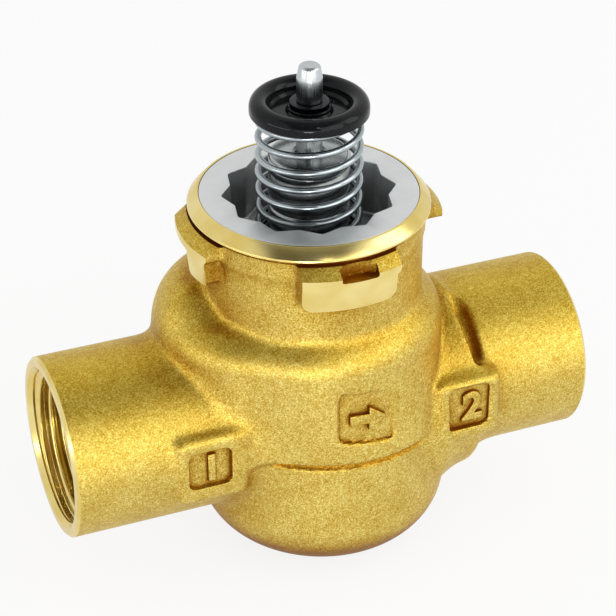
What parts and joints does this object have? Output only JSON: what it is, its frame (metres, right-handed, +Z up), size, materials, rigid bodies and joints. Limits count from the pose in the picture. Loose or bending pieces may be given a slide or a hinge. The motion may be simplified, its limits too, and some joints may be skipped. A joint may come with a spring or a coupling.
{
  "type": "zone valve",
  "caption": "Two-port brass zone valve with threaded ports, bayonet collar, screwed bonnet and a spring-returned stem pressed down to close the seat.",
  "frame": {"origin": "centre of the footprint on the plane that the bowl's foot stands on, under the stem axis", "axes": "+X along the pipe from port 1 to port 2, +Z up along the stem towards its tip, +Y to the back, away from the marked pads"},
  "size_m": [0.094, 0.0456, 0.0892],
  "materials": {
    "cast_brass": "blasted casting with turned port faces, ring and lugs",
    "turned_brass": "turned",
    "bonnet_metal": "nickel plated, satin",
    "gland_metal": "nickel plated, turned",
    "stem_steel": "ground and polished",
    "stainless_seat": "turned",
    "spring_wire": "bright drawn wire",
    "clip_steel": "darkened",
    "black_coating": "gloss black coating on pressed steel",
    "rubber_ring": "moulded",
    "white_polymer": "machined fluoropolymer"
  },
  "bodies": {
    "valve": {"valve_body": "cast_brass", "seat_insert": "stainless_seat", "seat_o_ring": "rubber_ring", "bonnet": "bonnet_metal", "bonnet_o_ring": "rubber_ring", "gland_tube": "gland_metal", "gland_o_ring": "rubber_ring", "gland_cap": "gland_metal", "guide_bush": "white_polymer", "stem_seal_lower": "rubber_ring", "seal_spacer": "white_polymer", "stem_seal_upper": "rubber_ring", "wiper_ring": "rubber_ring", "spring_washer": "stem_steel", "return_spring": "spring_wire"},
    "stem": {"stem": "stem_steel", "spring_cup": "black_coating", "cup_clip": "clip_steel", "plug_holder": "turned_brass", "plug_seal": "rubber_ring", "seal_washer": "stem_steel", "plug_nut": "stem_steel"}
  },
  "joints": [
    {"name": "stem_slide", "type": "slide", "parent": "valve", "child": "stem", "axis": [0, 0, -1], "range_m": [0, 0.003], "stiffness_N_per_m": 523, "springref_m": -0.015, "deforming": ["return_spring"]}
  ]
}
